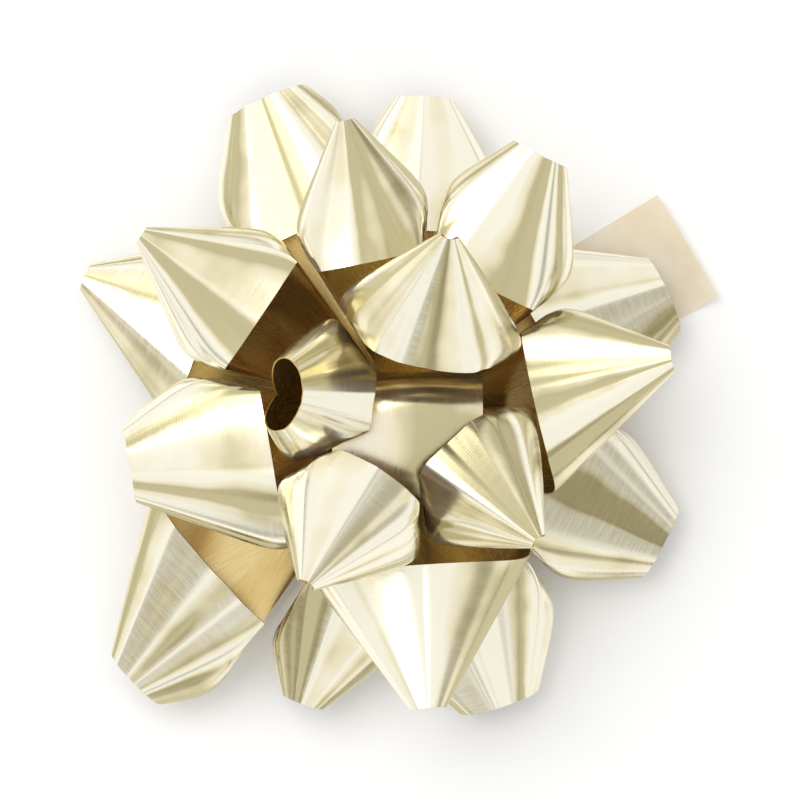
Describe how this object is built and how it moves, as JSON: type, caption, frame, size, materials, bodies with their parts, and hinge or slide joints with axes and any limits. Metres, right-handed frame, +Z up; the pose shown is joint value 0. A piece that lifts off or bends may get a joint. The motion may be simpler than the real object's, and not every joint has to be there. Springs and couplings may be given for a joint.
{
  "type": "pre-made gift bow",
  "caption": "Star-style gift bow of foil ribbon loops rolled into cones in tiers round a centre ring, stapled to a card disc with a sticky foam pad and release liner.",
  "frame": {"origin": "on the staple's axis, on the underside of the release liner, which is the face that the bow stands on", "axes": "+Z up, out of the gift, along the bow's axis; the release liner's long end points 31 degrees from +X towards +Y"},
  "size_m": [0.0972, 0.0959, 0.0574],
  "materials": {
    "foil_ribbon": "gloss metallised foil, pale gold outside and brown-gold inside",
    "card": "matte",
    "foam": "matte foam with a tacky face",
    "liner_paper": "satin glassine",
    "staple_wire": "gloss"
  },
  "bodies": {
    "bow_base": {"base_disc": "card", "adhesive_pad": "foam", "staple": "staple_wire", "ribbon_stack": "foil_ribbon", "centre_loop": "foil_ribbon"},
    "release_liner": {"release_liner": "liner_paper"},
    "outer_loop_1": {"outer_loop_1": "foil_ribbon"},
    "outer_loop_2": {"outer_loop_2": "foil_ribbon"},
    "outer_loop_3": {"outer_loop_3": "foil_ribbon"},
    "outer_loop_4": {"outer_loop_4": "foil_ribbon"},
    "outer_loop_5": {"outer_loop_5": "foil_ribbon"},
    "outer_loop_6": {"outer_loop_6": "foil_ribbon"},
    "outer_loop_7": {"outer_loop_7": "foil_ribbon"},
    "outer_loop_8": {"outer_loop_8": "foil_ribbon"},
    "middle_loop_1": {"middle_loop_1": "foil_ribbon"},
    "middle_loop_2": {"middle_loop_2": "foil_ribbon"},
    "middle_loop_3": {"middle_loop_3": "foil_ribbon"},
    "middle_loop_4": {"middle_loop_4": "foil_ribbon"},
    "middle_loop_5": {"middle_loop_5": "foil_ribbon"},
    "middle_loop_6": {"middle_loop_6": "foil_ribbon"},
    "inner_loop_1": {"inner_loop_1": "foil_ribbon"},
    "inner_loop_2": {"inner_loop_2": "foil_ribbon"},
    "inner_loop_3": {"inner_loop_3": "foil_ribbon"},
    "inner_loop_4": {"inner_loop_4": "foil_ribbon"}
  },
  "joints": [
    {"name": "release_liner_peel", "type": "hinge", "parent": "bow_base", "child": "release_liner", "pos_m": [-0.01029, -0.00618, 0.0003], "axis": [-0.515, 0.8572, 0], "range_deg": [0, 100]},
    {"name": "outer_loop_1_flex", "type": "hinge", "parent": "bow_base", "child": "outer_loop_1", "pos_m": [-0.00488, 0.00207, 0.0038], "axis": [0.3907, 0.9205, 0], "range_deg": [-3, 6], "stiffness_Nm_per_rad": 0.01},
    {"name": "outer_loop_2_flex", "type": "hinge", "parent": "bow_base", "child": "outer_loop_2", "pos_m": [-0.00216, 0.00484, 0.0038], "axis": [0.9135, 0.4067, 0], "range_deg": [-5, 5], "stiffness_Nm_per_rad": 0.01},
    {"name": "outer_loop_3_flex", "type": "hinge", "parent": "bow_base", "child": "outer_loop_3", "pos_m": [0.00028, 0.00529, 0.0038], "axis": [0.9986, -0.0523, 0], "range_deg": [-5, 2], "stiffness_Nm_per_rad": 0.01},
    {"name": "outer_loop_4_flex", "type": "hinge", "parent": "bow_base", "child": "outer_loop_4", "pos_m": [0.0048, 0.00224, 0.0038], "axis": [0.4226, -0.9063, 0], "range_deg": [-4, 0.5], "stiffness_Nm_per_rad": 0.01},
    {"name": "outer_loop_5_flex", "type": "hinge", "parent": "bow_base", "child": "outer_loop_5", "pos_m": [0.00472, -0.00241, 0.0038], "axis": [-0.454, -0.891, 0], "range_deg": [-4, 0.5], "stiffness_Nm_per_rad": 0.01},
    {"name": "outer_loop_6_flex", "type": "hinge", "parent": "bow_base", "child": "outer_loop_6", "pos_m": [0.00164, -0.00504, 0.0038], "axis": [-0.9511, -0.309, 0], "range_deg": [-4, 0.5], "stiffness_Nm_per_rad": 0.01},
    {"name": "outer_loop_7_flex", "type": "hinge", "parent": "bow_base", "child": "outer_loop_7", "pos_m": [-0.00181, -0.00498, 0.0038], "axis": [-0.9397, 0.342, 0], "range_deg": [-5, 0.5], "stiffness_Nm_per_rad": 0.01},
    {"name": "outer_loop_8_flex", "type": "hinge", "parent": "bow_base", "child": "outer_loop_8", "pos_m": [-0.00381, -0.00368, 0.0038], "axis": [-0.6947, 0.7193, 0], "range_deg": [-5, 7], "stiffness_Nm_per_rad": 0.01},
    {"name": "middle_loop_1_flex", "type": "hinge", "parent": "bow_base", "child": "middle_loop_1", "pos_m": [-0.00439, 0.00296, 0.0073], "axis": [0.5592, 0.829, 0], "range_deg": [-5, 7], "stiffness_Nm_per_rad": 0.01},
    {"name": "middle_loop_2_flex", "type": "hinge", "parent": "bow_base", "child": "middle_loop_2", "pos_m": [-0.0011, 0.00518, 0.0073], "axis": [0.9781, 0.2079, 0], "range_deg": [-3, 3], "stiffness_Nm_per_rad": 0.01},
    {"name": "middle_loop_3_flex", "type": "hinge", "parent": "bow_base", "child": "middle_loop_3", "pos_m": [0.00241, 0.00472, 0.0073], "axis": [0.891, -0.454, 0], "range_deg": [-0.5, 0.5], "stiffness_Nm_per_rad": 0.01},
    {"name": "middle_loop_4_flex", "type": "hinge", "parent": "bow_base", "child": "middle_loop_4", "pos_m": [0.00518, 0.0011, 0.0073], "axis": [0.2079, -0.9781, 0], "range_deg": [-0.5, 0.5], "stiffness_Nm_per_rad": 0.01},
    {"name": "middle_loop_5_flex", "type": "hinge", "parent": "bow_base", "child": "middle_loop_5", "pos_m": [0.00037, -0.00529, 0.0073], "axis": [-0.9976, -0.0698, 0], "range_deg": [-0.5, 0.5], "stiffness_Nm_per_rad": 0.01},
    {"name": "middle_loop_6_flex", "type": "hinge", "parent": "bow_base", "child": "middle_loop_6", "pos_m": [-0.00522, -0.00092, 0.0073], "axis": [-0.1736, 0.9848, 0], "range_deg": [-5, 1], "stiffness_Nm_per_rad": 0.01},
    {"name": "inner_loop_1_flex", "type": "hinge", "parent": "bow_base", "child": "inner_loop_1", "pos_m": [0.00119, 0.00516, 0.0085], "axis": [0.9744, -0.225, 0], "range_deg": [-0.5, 3], "stiffness_Nm_per_rad": 0.01},
    {"name": "inner_loop_2_flex", "type": "hinge", "parent": "bow_base", "child": "inner_loop_2", "pos_m": [0.00381, -0.00368, 0.0085], "axis": [-0.6947, -0.7193, 0], "range_deg": [-1, 0.5], "stiffness_Nm_per_rad": 0.01},
    {"name": "inner_loop_3_flex", "type": "hinge", "parent": "bow_base", "child": "inner_loop_3", "pos_m": [-0.00273, -0.00454, 0.0085], "axis": [-0.8572, 0.515, 0], "range_deg": [-1, 1], "stiffness_Nm_per_rad": 0.01},
    {"name": "inner_loop_4_flex", "type": "hinge", "parent": "bow_base", "child": "inner_loop_4", "pos_m": [-0.00523, 0.00083, 0.0085], "axis": [0.1564, 0.9877, 0], "range_deg": [-1, 0.5], "stiffness_Nm_per_rad": 0.01}
  ]
}
